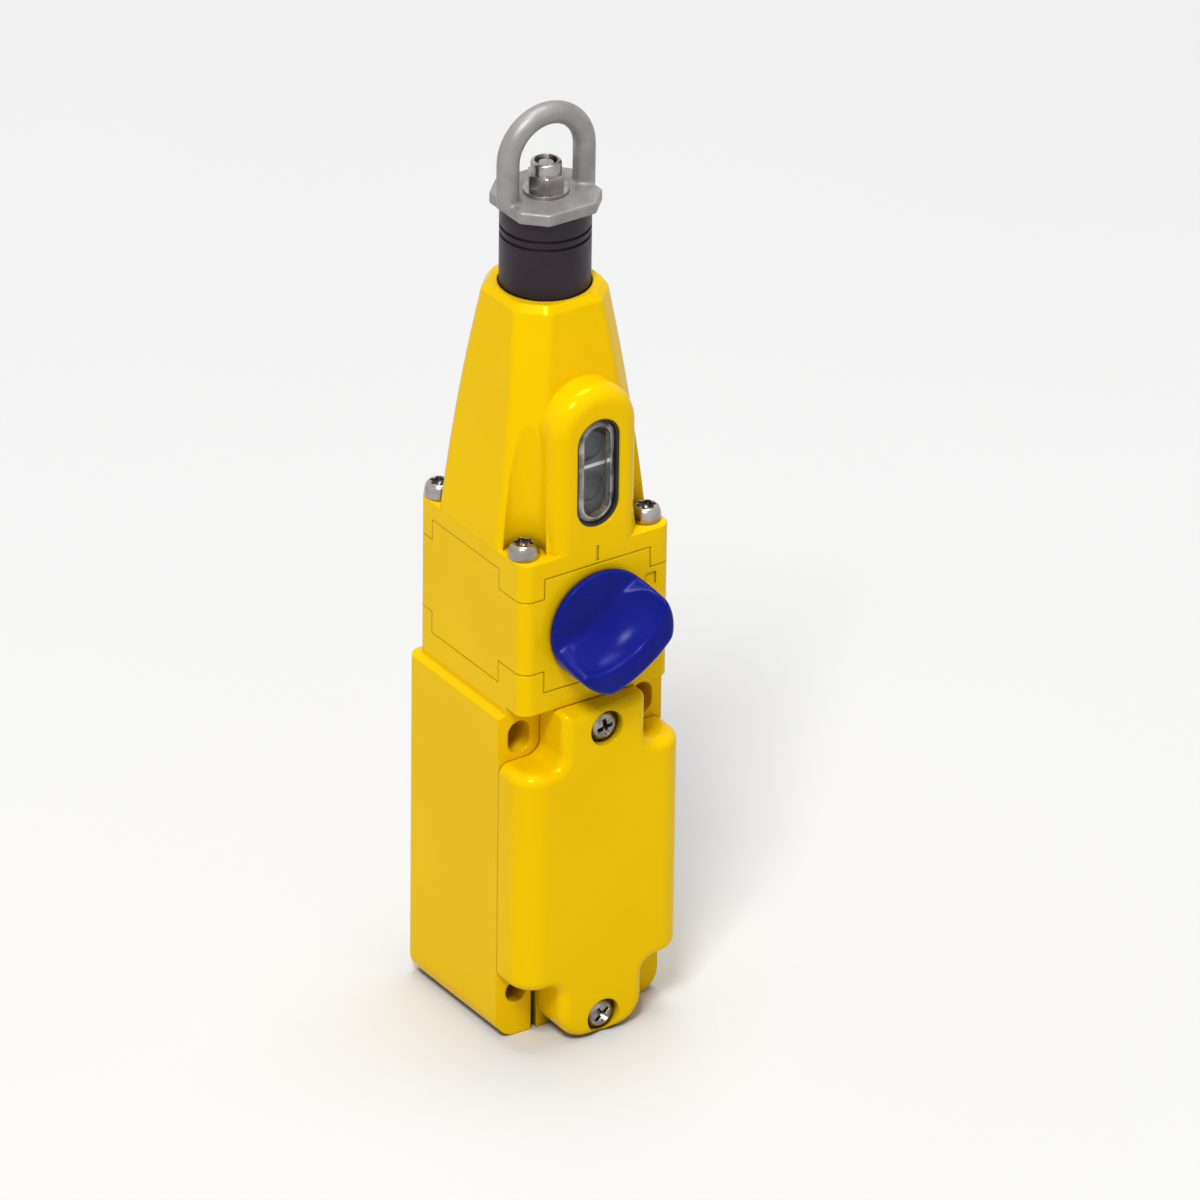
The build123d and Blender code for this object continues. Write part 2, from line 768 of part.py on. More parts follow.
def shaft_clip():
    """Clip under the spring plate."""
    bore = shaft_diameter - 2 * clip_groove_depth
    clip = open_clip(bore, clip_wall, clip_thickness, clip_opening)
    return Pos(0, 0, spring_plate_bottom_z - clip_thickness) * clip


def indicator_carrier():
    """Spring plate and indicator tongue in one moulding."""
    top = spring_seat_z
    body = rod_z(spring_plate_diameter, spring_plate_bottom_z, top)
    half = indicator_width / 2
    body += block_between(-half, half, indicator_front_y, 0, spring_plate_bottom_z, top)
    tongue = rectangle_between(-half, half, spring_plate_bottom_z, indicator_top_z - half)
    tongue += Pos(0, indicator_top_z - half) * Circle(half)
    body += front_prism(tongue, indicator_front_y, indicator_front_y + indicator_thickness)
    for offset in (-indicator_dish_offset, indicator_dish_offset):
        dish_rear = indicator_front_y + indicator_dish_depth
        body -= rod_y(indicator_dish_diameter, indicator_front_y, dish_rear, 0, window_z + offset)
    body -= indicator_line()
    return body - rod_z(shaft_diameter, spring_plate_bottom_z, top)


def indicator_line():
    """White reference line inlaid in the indicator."""
    half = indicator_width / 2 - line_margin
    return block_between(-half, half, indicator_front_y, indicator_front_y + line_depth,
                         window_z - line_height / 2, window_z + line_height / 2)


def coil_spring(mean_diameter, wire, turns, z_low, z_high):
    """Round-wire compression spring between two seats."""
    height = z_high - z_low - wire
    path = Helix(pitch=height / turns, height=height, radius=mean_diameter / 2)
    section = Plane(origin=path @ 0, z_dir=path % 0) * Circle(wire / 2)
    return Pos(0, 0, z_low + wire / 2) * sweep(section, path, is_frenet=True)


def main_spring():
    """Strong spring that the rope's tension works against."""
    return coil_spring(spring_mean_diameter, spring_wire, spring_turns,
                       spring_seat_z + fit_gap, web_bottom_z - fit_gap)


def sleeve():
    """Grooved black sleeve that covers the shaft."""
    body = rod_z(sleeve_diameter, sleeve_bottom_z, plate_bottom_z)
    body -= rod_z(sleeve_bore, sleeve_bottom_z, plate_bottom_z - sleeve_cap)
    body -= rod_z(shaft_diameter, plate_bottom_z - sleeve_cap, plate_bottom_z)
    inner = sleeve_diameter - 2 * sleeve_groove_depth
    upper = plate_bottom_z - sleeve_groove_drop
    for z in (upper, upper - sleeve_groove_pitch):
        low, high = z - sleeve_groove_width / 2, z + sleeve_groove_width / 2
        body -= rod_z(sleeve_diameter + 1, low, high) - rod_z(inner, low, high)
    return body


def pull_eye():
    """Eye plate with the forged ring welded on."""
    square = Rectangle(2 * plate_half_width, 2 * plate_half_width)
    outline = chamfer(square.vertices(), plate_corner_cut)
    plate = extrude(Pos(0, 0, plate_bottom_z) * outline, plate_thickness)
    plate -= rod_z(stud_diameter + 2 * fit_gap, plate_bottom_z, plate_top_z)
    foot_z = plate_top_z - plate_thickness / 2
    left = Line((-ring_radius, 0, foot_z), (-ring_radius, 0, ring_centre_z))
    top = ThreePointArc((-ring_radius, 0, ring_centre_z), (0, 0, ring_centre_z + ring_radius),
                        (ring_radius, 0, ring_centre_z))
    right = Line((ring_radius, 0, ring_centre_z), (ring_radius, 0, foot_z))
    section = Pos(-ring_radius, 0, foot_z) * Circle(ring_rod_diameter / 2)
    ring = sweep(section, Wire([left, top, right]))
    return plate + ring


def eye_washer():
    """Washer under the lock nut."""
    washer = rod_z(washer_diameter, plate_top_z, washer_top_z)
    return washer - rod_z(stud_diameter + 2 * fit_gap, plate_top_z, washer_top_z)


def eye_nut():
    """Lock nut with a hollow round collar."""
    corner = nut_across_flats / math.sqrt(3)
    nut = extrude(Pos(0, 0, washer_top_z) * RegularPolygon(corner, 6), nut_height)
    cone_height = nut_height + corner - nut_across_flats / 2
    bevel = Cone(corner + nut_height, nut_across_flats / 2, cone_height,
                 align=(Align.CENTER, Align.CENTER, Align.MIN))
    nut &= Pos(0, 0, nut_top_z - cone_height + nut_bevel) * bevel
    collar = rod_z(nut_collar_diameter, nut_top_z, collar_top_z)
    nut += fillet(collar.edges().group_by(Axis.Z)[-1], nut_collar_radius)
    nut -= rod_z(nut_collar_bore, collar_top_z - nut_collar_depth, collar_top_z)
    bore = stud_diameter + 2 * thread_clearance
    return nut - rod_z(bore, washer_top_z, collar_top_z)


def grip_place(along, across, y):
    """Point in front of the knob, measured along its grip and across it towards the outer side."""
    turn = math.radians(grip_angle)
    x = along * math.cos(turn) + across * math.sin(turn)
    return (x, y, knob_z + along * math.sin(turn) - across * math.cos(turn))


def grip_circle(radius, along, across, y):
    """Circle parallel to the knob's face."""
    plane = Plane(origin=grip_place(along, across, y), x_dir=(1, 0, 0), z_dir=(0, -1, 0))
    return plane * Circle(radius)


def grip_flank():
    """What lies beyond the grip's sloped flank, in front of the disc."""
    slope = (flank_top_offset - flank_foot_offset) / (knob_height - knob_disc_thickness)
    beyond = flank_top_offset + slope * knob_disc_thickness
    front = grip_front_y - knob_disc_thickness
    side = Polyline(
        grip_place(0, flank_foot_offset, grip_foot_y),
        grip_place(0, beyond, front),
        grip_place(0, -knob_diameter, front),
        grip_place(0, -knob_diameter, grip_foot_y),
        close=True,
    )
    along = Vector(*grip_place(1, 0, 0)) - Vector(*grip_place(0, 0, 0))
    return extrude(make_face(side), knob_diameter, dir=along, both=True)


def reset_knob():
    """Knob with a half-round grip, a finger scoop in its flank and a moulded stub."""
    disc = rod_y(knob_diameter, grip_foot_y, knob_back_y, 0, knob_z)
    disc = fillet(disc.edges().group_by(Axis.Y)[0], knob_rim_radius)
    grip_root_y = knob_back_y - knob_disc_thickness / 2
    grip = rod_y(knob_diameter, grip_front_y, grip_root_y, 0, knob_z)
    side = grip_circle(grip_side_radius, 0, grip_side_reach - grip_side_radius, knob_back_y)
    grip &= extrude(side, knob_height + knob_disc_thickness)
    grip -= grip_flank()
    foot = grip_circle(scoop_foot_radius, scoop_foot_along, scoop_foot_across, grip_foot_y)
    top = grip_circle(scoop_top_radius, scoop_top_along, scoop_top_across, grip_front_y)
    grip -= loft([foot, top])
    grip = fillet(grip.edges().group_by(Axis.Y)[0], grip_edge_radius)
    knob = disc + grip + rod_y(knob_stub_diameter, knob_back_y, -knob_stub_back, 0, knob_z)
    return knob - rod_y(spindle_diameter, -spindle_front, -knob_stub_back, 0, knob_z)


def knob_spindle():
    """Steel spindle pressed into the knob, with a flat for the cam."""
    spindle = rod_y(spindle_diameter, -spindle_front, -spindle_back, 0, knob_z)
    half = spindle_diameter
    cam_back = -cam_front + cam_thickness
    flat = block_between(-half, half, -cam_front, cam_back, knob_z + spindle_flat, knob_z + half)
    spindle -= flat
    groove_low = cam_back + spindle_clip_gap
    groove_high = groove_low + spindle_clip_thickness
    groove = rod_y(spindle_diameter, groove_low, groove_high, 0, knob_z)
    core = rod_y(spindle_groove_diameter, groove_low, groove_high, 0, knob_z)
    return spindle - (groove - core)


def knob_bush():
    """Bush that the knob's stub turns in."""
    front = stack_front_y + knob_seal_length + fit_gap
    bore = knob_stub_diameter + 2 * running_clearance
    bush = rod_y(bush_outer_diameter, front, -bush_back, 0, knob_z)
    return bush - rod_y(bore, front, -bush_back, 0, knob_z)


def knob_seal():
    """Seal ring around the knob's stub."""
    bore = knob_stub_diameter + 2 * running_clearance
    ring = rod_y(bush_outer_diameter, stack_front_y, stack_front_y + knob_seal_length, 0, knob_z)
    return ring - rod_y(bore, stack_front_y, stack_front_y + knob_seal_length, 0, knob_z)


def reset_cam():
    """Cam with one lobe, driven by the spindle's flat."""
    hub = Circle(cam_radius)
    lobe = Pos(0, -cam_lobe_reach) * Circle(cam_lobe_radius)
    outline = make_hull(hub.edges() + lobe.edges())
    bore = Circle(spindle_diameter / 2)
    bore -= rectangle_between(-spindle_diameter, spindle_diameter, spindle_flat, spindle_diameter)
    outline = Pos(0, knob_z) * (outline - bore)
    return front_prism(outline, -cam_front, -cam_front + cam_thickness)


def spindle_clip():
    """Clip that keeps the cam on the spindle."""
    clip = open_clip(spindle_groove_diameter, spindle_clip_wall, spindle_clip_thickness,
                     spindle_clip_opening)
    back_y = -cam_front + cam_thickness + spindle_clip_gap
    return Pos(0, back_y, knob_z) * Rot(-90, 0, 0) * clip


def lever_pin():
    """Pivot pin of the rocker lever."""
    half = mechanism_width / 2 + lever_pin_hold
    return rod_x(lever_pin_diameter, -half, half, lever_y, lever_z)


def rocker_lever():
    """Forked lever that turns the shaft's travel into the plunger's shorter stroke."""
    arm_in = lever_arm_gap / 2
    arm_out = arm_in + lever_arm_thickness
    hub = rod_x(lever_hub_diameter, -arm_out, arm_out, lever_y, lever_z)
    lever = hub
    fork_y = lever_y - lever_arm
    reach = lever_arm_height / 2
    for side in (-1, 1):
        near, far = sorted((side * arm_in, side * arm_out))
        lever += block_between(near, far, fork_y, lever_y, lever_z - reach, lever_z + reach)
        lever += rod_x(lever_arm_height, near, far, fork_y, lever_z)
        tip = side * (fork_neck_diameter / 2 + fork_reach_gap)
        low, high = sorted((tip, side * arm_in))
        lever += rod_x(fork_pin_diameter, low, high, fork_y, lever_z)
    lever += rod_x(pad_bar_diameter, -arm_out, arm_out, lever_y - lever_pad_arm, lever_z)
    bore = lever_pin_diameter + 2 * running_clearance
    lever -= rod_x(bore, -arm_out, arm_out, lever_y, lever_z)
    pivot = Pos(0, lever_y, lever_z)
    return pivot * Rot(math.degrees(lever_rest_angle), 0, 0) * pivot.inverse() * lever


def contact_block():
    """Moulded contact block with a switching chamber and terminal barriers."""
    half = block_width / 2
    body = block_between(-half, half, -block_front, block_back, block_low_z, block_high_z)
    body = fillet(body.edges().filter_by(Axis.Y), block_edge_radius)
    barrier_front = -block_front - barrier_depth
    for low, high in ((block_low_z, chamber_low_z), (chamber_high_z, block_high_z)):
        for x in (-half + barrier_width / 2, 0, half - barrier_width / 2):
            left, right = x - barrier_width / 2, x + barrier_width / 2
            bottom, top = low + barrier_margin, high - barrier_margin
            body += block_between(left, right, barrier_front, barrier_margin - block_front, bottom, top)
    body -= block_between(-chamber_width / 2, chamber_width / 2, -block_front, chamber_back,
                          chamber_low_z, chamber_high_z)
    stem = plunger_diameter + 2 * fit_gap
    body -= rod_z(stem, chamber_high_z, block_high_z, 0, plunger_y)
    for x, z in terminal_places():
        hole_back = -block_front + terminal_screw_length
        body -= rod_y(terminal_screw_diameter + 2 * thread_clearance, -block_front, hole_back, x, z)
    for x, z in block_screw_places():
        body -= rod_y(block_screw_diameter + 2 * fit_gap, -block_front, block_back, x, z)
    return body


def terminal_places():
    """Places of the four terminals."""
    return [(x, z) for z in (terminal_low_z, terminal_high_z) for x in (-terminal_x, terminal_x)]


def block_screw_places():
    """Places of the two screws that hold the contact block."""
    return [(-block_screw_x, terminal_high_z), (block_screw_x, terminal_low_z)]


def contact_strip(side, level):
    """Angled contact strip from a terminal into the chamber."""
    x = side * terminal_x
    half = contact_strip_width / 2
    front = -block_front - contact_strip_thickness
    if level > 0:
        blade_low = carrier_high_z + contact_strip_thickness + plunger_stroke + contact_gap
        blade_high = blade_low + contact_strip_thickness
        leg_low, leg_high = blade_low, terminal_high_z + half
    else:
        blade_high = carrier_low_z - contact_strip_thickness - contact_gap
        blade_low = blade_high - contact_strip_thickness
        leg_low, leg_high = terminal_low_z - half, blade_high
    strip = block_between(x - half, x + half, front, -block_front, leg_low, leg_high)
    strip += block_between(x - half, x + half, front, contact_reach, blade_low, blade_high)
    z = terminal_high_z if level > 0 else terminal_low_z
    return strip - rod_y(terminal_screw_diameter + 2 * fit_gap, front, -block_front, x, z)


def fixed_contacts():
    """The four fixed contact strips."""
    return [contact_strip(side, level) for side in (-1, 1) for level in (-1, 1)]


def terminal_clamps():
    """The four clamp plates under the terminal screws."""
    rear = -block_front - contact_strip_thickness
    front = rear - terminal_clamp_thickness
    clamps = []
    for x, z in terminal_places():
        outline = RectangleRounded(terminal_clamp_size, terminal_clamp_size, terminal_clamp_radius)
        outline = Pos(x, z) * outline
        outline -= Pos(x, z) * Circle(terminal_screw_diameter / 2 + fit_gap)
        clamps.append(front_prism(outline, front, rear))
    return clamps


def terminal_screws():
    """The four terminal screws."""
    seat_y = -block_front - contact_strip_thickness - terminal_clamp_thickness
    length = -block_front + terminal_screw_length - screw_tip_gap - seat_y
    screw = pan_screw(terminal_screw_diameter, terminal_head_diameter, terminal_head_height, length)
    return [front_screw(screw, x, seat_y, z) for x, z in terminal_places()]


def block_screws():
    """The two screws that hold the contact block."""
    length = cavity_back_y + block_screw_grip - screw_tip_gap + block_front
    screw = pan_screw(block_screw_diameter, block_screw_head_diameter, block_screw_head_height, length)
    return [front_screw(screw, x, -block_front, z) for x, z in block_screw_places()]


def contact_plunger():
    """Plunger stem with the moulded contact carrier."""
    half = carrier_width / 2
    body = block_between(-half, half, -carrier_front, carrier_back, carrier_low_z, carrier_high_z)
    body = fillet(body.edges().filter_by(Axis.Z), carrier_edge_radius)
    dome = plunger_diameter / 2
    body += rod_z(plunger_diameter, carrier_low_z, plunger_top_z - dome, 0, plunger_y)
    return body + Pos(0, plunger_y, plunger_top_z - dome) * Sphere(dome)


def contact_bridges():
    """Upper and lower bridging contacts on the carrier."""
    bridges = []
    for low in (carrier_low_z - contact_strip_thickness, carrier_high_z):
        outline = RectangleRounded(bridge_width, bridge_depth, bridge_radius)
        bridges.append(extrude(Pos(0, bridge_y, low) * outline, contact_strip_thickness))
    return bridges


def return_spring():
    """Spring that lifts the contact plunger."""
    spring = coil_spring(return_mean_diameter, return_wire, return_turns,
                         chamber_low_z + fit_gap, carrier_low_z - fit_gap)
    return Pos(0, plunger_y, 0) * spring


def earth_screw():
    """Earth terminal screw in the back wall of the base."""
    seat_y = cavity_back_y - earth_washer_thickness
    length = earth_washer_thickness + block_screw_grip - screw_tip_gap
    screw = pan_screw(earth_screw_diameter, earth_head_diameter, earth_head_height, length)
    return front_screw(screw, 0, seat_y, earth_screw_z)


def earth_washer():
    """Washer under the earth screw."""
    front = cavity_back_y - earth_washer_thickness
    washer = rod_y(earth_washer_diameter, front, cavity_back_y, 0, earth_screw_z)
    return washer - rod_y(earth_screw_diameter + 2 * fit_gap, front, cavity_back_y, 0, earth_screw_z)


def stack_gasket(z_low):
    """Seal between two members of the stack, as thick as its groove and the seam."""
    return stack_seal(z_low, z_low + gasket_groove_depth + seam_gap)


def lower_gasket():
    """Seal between base and knob housing."""
    return stack_gasket(neck_top_z)


def upper_gasket():
    """Seal between knob housing and head."""
    return stack_gasket(head_seam_z - gasket_groove_depth - seam_gap)


makers = (
    base_housing, front_cover, cover_gasket, cover_screws, knob_housing, head_housing, head_screws,
    lower_gasket, upper_gasket, window_gasket, window_lens, guide_bush, sleeve_wiper, pull_shaft,
    shaft_clip, indicator_carrier, indicator_line, main_spring, sleeve, pull_eye, eye_washer,
    eye_nut, reset_knob, knob_spindle, knob_bush, knob_seal, reset_cam, spindle_clip, lever_pin,
    rocker_lever, contact_block, fixed_contacts, terminal_clamps, terminal_screws, block_screws,
    contact_plunger, contact_bridges, return_spring, earth_screw, earth_washer,
)

os.makedirs("parts", exist_ok=True)
for maker in makers:
    shape = maker()
    if isinstance(shape, list):
        shape = Compound(children=shape)
    export_step(shape, f"parts/{maker.__name__}.step")
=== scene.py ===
"""Looks for the rope-pull safety switch: finishes, rounded forms, fasteners, light, camera."""

import math

import bmesh
import bpy
from mathutils import Matrix, Vector


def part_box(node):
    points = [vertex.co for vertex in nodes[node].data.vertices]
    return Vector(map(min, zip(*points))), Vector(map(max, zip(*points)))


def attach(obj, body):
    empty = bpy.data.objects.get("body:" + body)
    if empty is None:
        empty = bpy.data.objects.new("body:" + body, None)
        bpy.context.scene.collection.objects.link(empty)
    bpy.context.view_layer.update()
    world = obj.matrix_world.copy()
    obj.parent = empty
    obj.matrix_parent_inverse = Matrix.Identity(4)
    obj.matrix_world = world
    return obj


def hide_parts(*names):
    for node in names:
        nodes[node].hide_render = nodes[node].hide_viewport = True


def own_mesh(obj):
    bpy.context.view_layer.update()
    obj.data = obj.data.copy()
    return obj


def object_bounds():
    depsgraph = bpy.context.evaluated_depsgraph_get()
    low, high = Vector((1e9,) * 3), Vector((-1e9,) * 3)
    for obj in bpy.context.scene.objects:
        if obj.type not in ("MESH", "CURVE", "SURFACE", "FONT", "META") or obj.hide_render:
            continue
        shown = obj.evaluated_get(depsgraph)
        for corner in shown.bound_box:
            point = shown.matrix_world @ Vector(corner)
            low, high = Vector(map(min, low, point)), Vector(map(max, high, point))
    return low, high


MM = 0.001
TAU = math.tau
COLOUR_A, COLOUR_B, COLOUR_OUT = 6, 7, 2  # sockets of a Mix node that mixes colours
SHARP_ANGLE = 35.0
CLOSENESS = 0.001 * MM  # points nearer than this are one
VOXEL = 0.3 * MM
KNOB_GRIP_ANGLE = 32.0
LENS_SHARP_ANGLE = 25.0
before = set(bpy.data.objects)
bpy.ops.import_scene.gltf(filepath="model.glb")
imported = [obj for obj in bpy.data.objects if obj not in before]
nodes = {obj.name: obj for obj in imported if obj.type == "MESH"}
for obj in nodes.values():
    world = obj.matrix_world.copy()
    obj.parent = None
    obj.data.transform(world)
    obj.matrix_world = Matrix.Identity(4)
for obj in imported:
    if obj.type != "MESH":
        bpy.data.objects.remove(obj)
cad_low, cad_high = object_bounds()


# Materials


class Finish:
    """One procedural material, with short calls to add and join its nodes."""

    def __init__(self, name, colour, roughness, metallic=0.0):
        self.material = bpy.data.materials.new(name)
        self.material.use_nodes = True
        self.tree = self.material.node_tree
        self.shader = self.tree.nodes["Principled BSDF"]
        self.set("Base Color", (*colour, 1.0))
        self.set("Roughness", roughness)
        self.set("Metallic", metallic)
        place = self.tree.nodes.new("ShaderNodeTexCoord")
        self.place = place.outputs["Object"]

    def set(self, socket, value):
        """One value for the whole surface."""
        self.shader.inputs[socket].default_value = value

    def link(self, output, node_input):
        """A wire from one node to the next."""
        self.tree.links.new(output, node_input)

    def noise(self, size, detail=2.0):
        """Noise with features about size metres across."""
        noise = self.tree.nodes.new("ShaderNodeTexNoise")
        noise.inputs["Scale"].default_value = 1.0 / size
        noise.inputs["Detail"].default_value = detail
        self.link(self.place, noise.inputs["Vector"])
        return noise.outputs["Fac"]

    def ramp(self, factor, low, high, start=0.35, end=0.65):
        """factor from start to end, turned into a value from low to high."""
        remap = self.tree.nodes.new("ShaderNodeMapRange")
        remap.inputs["From Min"].default_value = start
        remap.inputs["From Max"].default_value = end
        remap.inputs["To Min"].default_value = low
        remap.inputs["To Max"].default_value = high
        self.link(factor, remap.inputs["Value"])
        return remap.outputs["Result"]

    def mix(self, factor, first, second):
        """A colour between first and second, where second may be another node's output."""
        mix = self.tree.nodes.new("ShaderNodeMix")
        mix.data_type = "RGBA"
        mix.inputs[COLOUR_A].default_value = (*first, 1.0)
        if isinstance(second, bpy.types.NodeSocket):
            self.link(second, mix.inputs[COLOUR_B])
        else:
            mix.inputs[COLOUR_B].default_value = (*second, 1.0)
        self.link(factor, mix.inputs[0])
        return mix.outputs[COLOUR_OUT]

    def soft_edges(self, radius):
        """Normals rounded over every sharp edge, by radius in metres."""
        bevel = self.tree.nodes.new("ShaderNodeBevel")
        bevel.samples = 6
        bevel.inputs["Radius"].default_value = radius
        self.link(bevel.outputs["Normal"], self.shader.inputs["Normal"])

    def bump(self, height, depth):
        """Relief from height, depth metres deep."""
        bump = self.tree.nodes.new("ShaderNodeBump")
        bump.inputs["Strength"].default_value = 1.0
        bump.inputs["Distance"].default_value = depth
        self.link(height, bump.inputs["Height"])
        taken = self.shader.inputs["Normal"].links
        if taken:
            self.link(taken[0].from_socket, bump.inputs["Normal"])
        self.link(bump.outputs["Normal"], self.shader.inputs["Normal"])

    def paint_shade_in_hollows(self, colour, reach):
        """Painted shade: a darker colour in narrow holes and gaps, where light hardly gets in.
        """
        hollow = self.tree.nodes.new("ShaderNodeAmbientOcclusion")
        hollow.samples = 8
        hollow.inputs["Distance"].default_value = reach
        base = self.shader.inputs["Base Color"]
        paint = base.links[0].from_socket
        openness = self.ramp(hollow.outputs["AO"], 0.0, 1.0, start=0.12, end=0.42)
        self.link(self.mix(openness, colour, paint), base)

    def vary(self, colour_a, colour_b, size, rough_a, rough_b, rough_size):
        """Slow change of colour and of gloss over the surface."""
        self.link(
            self.mix(self.ramp(self.noise(size), 0.0, 1.0), colour_a, colour_b),
            self.shader.inputs["Base Color"],
        )
        self.link(
            self.ramp(self.noise(rough_size, 4.0), rough_a, rough_b),
            self.shader.inputs["Roughness"],
        )


def yellow_enamel():
    """Smooth glossy paint over a die-casting, with its faint slow unevenness."""
    finish = Finish("yellow_enamel", (0.80, 0.505, 0.0), 0.2)
    finish.vary((0.81, 0.515, 0.0), (0.79, 0.495, 0.0), 30 * MM, 0.11, 0.17, 12 * MM)
    # Painted shade: slots, seams and gaps in the enamel are darkened towards brown-black where
    # light hardly reaches
    finish.paint_shade_in_hollows((0.19, 0.10, 0.002), 6 * MM)
    finish.set("Metallic", 0.06)
    finish.set("Specular IOR Level", 0.05)
    finish.set("Specular Tint", (1.0, 0.95, 0.6, 1.0))
    finish.soft_edges(0.6 * MM)
    finish.bump(finish.noise(2.4 * MM, 0.0), 0.004 * MM)
    finish.bump(finish.noise(14 * MM, 0.0), 0.05 * MM)
    return finish.material


def blue_gloss():
    """Glossy blue moulding, a little wavy where it shrank in the mould."""
    finish = Finish("blue_plastic", (0.005, 0.010, 0.19), 0.24)
    finish.vary((0.006, 0.011, 0.20), (0.004, 0.009, 0.175), 9 * MM, 0.22, 0.28, 3 * MM)
    finish.set("Specular IOR Level", 0.09)
    finish.set("Specular Tint", (0.7, 0.7, 1.0, 1.0))
    finish.soft_edges(0.3 * MM)
    finish.bump(finish.noise(4 * MM, 0.0), 0.03 * MM)
    return finish.material


def black_moulding():
    """Black moulding with a satin skin."""
    finish = Finish("black_plastic", (0.016, 0.008, 0.014), 0.42)
    finish.vary((0.018, 0.009, 0.016), (0.013, 0.007, 0.012), 8 * MM, 0.38, 0.48, 2 * MM)
    finish.set("Specular IOR Level", 0.28)
    finish.soft_edges(0.2 * MM)
    finish.bump(finish.noise(0.6 * MM, 1.0), 0.004 * MM)
    return finish.material


def slate_indicator():
    """Dark grey indicator plate."""
    finish = Finish("dark_indicator", (0.10, 0.10, 0.11), 0.5)
    finish.vary((0.125, 0.125, 0.135), (0.08, 0.08, 0.09), 5 * MM, 0.45, 0.55, 1 * MM)
    finish.bump(finish.noise(0.5 * MM), 0.004 * MM)
    return finish.material


def white_print():
    """White line, very slightly uneven."""
    finish = Finish("white_print", (0.86, 0.86, 0.84), 0.5)
    finish.vary((0.87, 0.87, 0.85), (0.82, 0.82, 0.80), 1 * MM, 0.45, 0.55, 1 * MM)
    return finish.material


def clear_lens():
    """Clear plastic with a polished skin."""
    finish = Finish("clear_lens", (0.93, 0.95, 0.96), 0.03)
    finish.set("Transmission Weight", 1.0)
    finish.set("IOR", 1.2)
    finish.link(
        finish.ramp(finish.noise(3 * MM), 0.02, 0.06),
        finish.shader.inputs["Roughness"],
    )
    return finish.material


def lens_edge_painted_reflections():
    """The lens's thick bevelled edge, which looks milky grey; its brighter and darker patches
    are painted reflections of a clear bevel.
    """
    finish = Finish("lens_edge", (0.3, 0.29, 0.26), 0.2)
    # Painted reflections: noise patches from pale grey to near black stand in for the light
    # and dark reflections in a clear bevel
    finish.vary((0.42, 0.4, 0.35), (0.07, 0.065, 0.065), 3.2 * MM, 0.14, 0.28, 2 * MM)
    finish.soft_edges(0.25 * MM)
    finish.bump(finish.noise(1.8 * MM, 0.0), 0.04 * MM)
    return finish.material


def black_rubber():
    """Matt rubber of the seals."""
    finish = Finish("black_rubber", (0.012, 0.010, 0.012), 0.6)
    finish.vary((0.014, 0.012, 0.014), (0.010, 0.008, 0.010), 3 * MM, 0.55, 0.66, 1 * MM)
    finish.soft_edges(0.15 * MM)
    finish.bump(finish.noise(0.3 * MM), 0.006 * MM)
    return finish.material


def grey_coat():
    """Grey zinc-flake coat over the forged eye, soft and a little grainy."""
    finish = Finish("grey_coated_steel", (0.26, 0.25, 0.245), 0.45, 0.4)
    finish.vary((0.29, 0.28, 0.28), (0.225, 0.215, 0.21), 5 * MM, 0.4, 0.52, 1.5 * MM)
    finish.soft_edges(0.35 * MM)
    finish.bump(finish.noise(0.8 * MM, 2.0), 0.01 * MM)
    finish.bump(finish.noise(4 * MM, 0.0), 0.05 * MM)
    return finish.material


def stainless():
    """Turned and pressed stainless steel of the visible fasteners."""
    finish = Finish("stainless", (0.36, 0.34, 0.335), 0.2, 1.0)
    finish.vary((0.42, 0.395, 0.385), (0.30, 0.275, 0.265), 3 * MM, 0.18, 0.28, 1.5 * MM)
    finish.soft_edges(0.2 * MM)
    finish.bump(finish.noise(1.5 * MM, 0.0), 0.01 * MM)
    return finish.material


def browned_screws():
    """Zinc-plated steel of the cover screws, dull and a little brown."""
    finish = Finish("browned_zinc", (0.28, 0.255, 0.24), 0.28, 1.0)
    finish.vary((0.38, 0.35, 0.33), (0.19, 0.17, 0.16), 1.6 * MM, 0.22, 0.34, 1 * MM)
    finish.soft_edges(0.2 * MM)
    finish.bump(finish.noise(1.2 * MM, 1.0), 0.02 * MM)
    return finish.material


def spring_steel():
    """Drawn wire and stamped clips."""
    finish = Finish("spring_steel", (0.42, 0.42, 0.44), 0.32, 1.0)
    finish.vary((0.46, 0.46, 0.48), (0.36, 0.36, 0.38), 3 * MM, 0.26, 0.4, 1 * MM)
    finish.bump(finish.noise(0.3 * MM, 3.0), 0.006 * MM)
    return finish.material


def brass():
    """Stamped contact brass."""
    finish = Finish("brass", (0.62, 0.43, 0.15), 0.3, 1.0)
    finish.vary((0.66, 0.46, 0.17), (0.54, 0.37, 0.13), 3 * MM, 0.24, 0.38, 1 * MM)
    finish.bump(finish.noise(0.3 * MM, 3.0), 0.006 * MM)
    return finish.material


def cream_moulding():
    """Dull insulating moulding of the contact block."""
    finish = Finish("cream_moulding", (0.6, 0.56, 0.44), 0.5)
    finish.vary((0.62, 0.58, 0.46), (0.56, 0.52, 0.4), 6 * MM, 0.45, 0.56, 1.5 * MM)
    finish.bump(finish.noise(0.4 * MM), 0.006 * MM)
    return finish.material


def floor_white():
    """Plain pale table."""
    finish = Finish("floor_white", (0.64, 0.64, 0.64), 0.9)
    finish.vary((0.645, 0.645, 0.645), (0.635, 0.635, 0.635), 0.3, 0.85, 0.95, 0.1)
    finish.set("Specular IOR Level", 0.1)
    return finish.material


MATERIALS = {
    "yellow_enamel": yellow_enamel(),
    "blue_plastic": blue_gloss(),
    "black_plastic": black_moulding(),
    "dark_indicator": slate_indicator(),
    "white_print": white_print(),
    "clear_lens": clear_lens(),
    "lens_edge": lens_edge_painted_reflections(),
    "black_rubber": black_rubber(),
    "grey_coated_steel": grey_coat(),
    "stainless": stainless(),
    "browned_zinc": browned_screws(),
    "spring_steel": spring_steel(),
    "brass": brass(),
    "cream_moulding": cream_moulding(),
}

